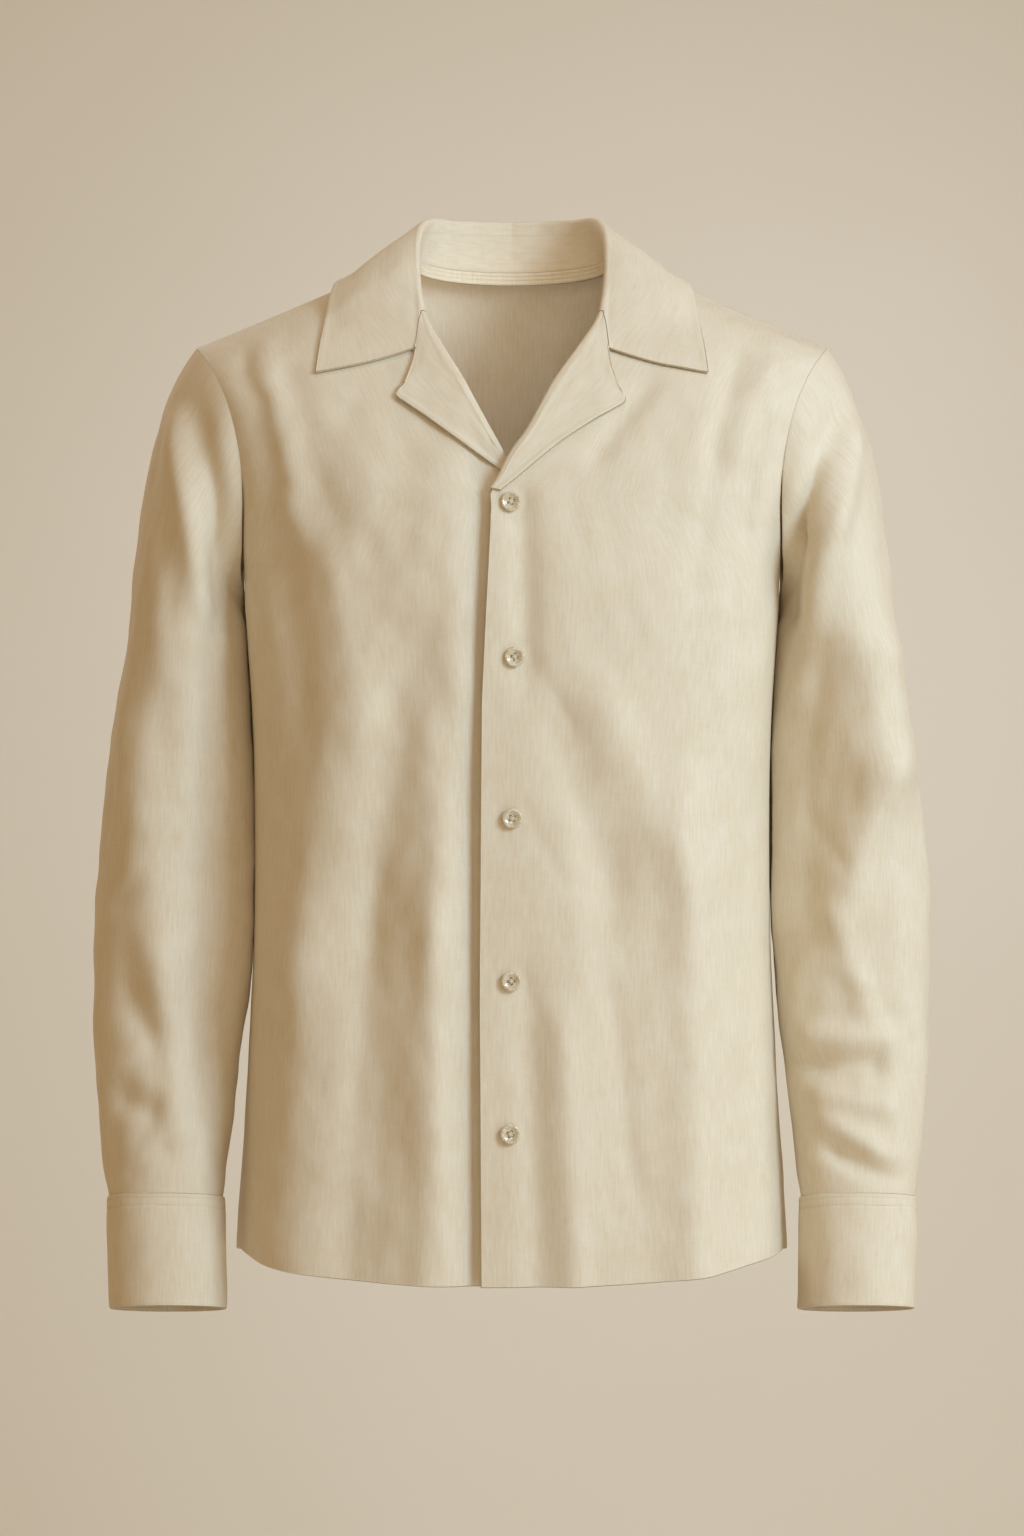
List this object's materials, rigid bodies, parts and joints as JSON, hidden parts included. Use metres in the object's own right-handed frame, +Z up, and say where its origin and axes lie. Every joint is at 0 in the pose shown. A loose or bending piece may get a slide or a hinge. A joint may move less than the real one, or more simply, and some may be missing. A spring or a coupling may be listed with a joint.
{
  "type": "camp collar shirt",
  "caption": "Long-sleeved shirt with a flat open collar, notched lapels and a buttoned front, filled out as worn and empty inside.",
  "frame": {"origin": "on the centre plane at the level of the neck points, where a wearer's shoulders hold the shirt", "axes": "+Z up, -Y out of the chest, +X toward the wearer's left"},
  "size_m": [0.6032, 0.2453, 0.792],
  "materials": {
    "cloth": "matt plain weave",
    "shell": "satin, pale"
  },
  "bodies": {
    "root": {"front_left": "cloth", "front_right": "cloth", "back": "cloth", "sleeve_left": "cloth", "sleeve_right": "cloth", "cuff_left": "cloth", "cuff_right": "cloth", "collar": "cloth", "lapel_left": "cloth", "lapel_right": "cloth", "neck_tape": "cloth", "button_1": "shell", "button_2": "shell", "button_3": "shell", "button_4": "shell", "button_5": "shell"}
  },
  "joints": []
}
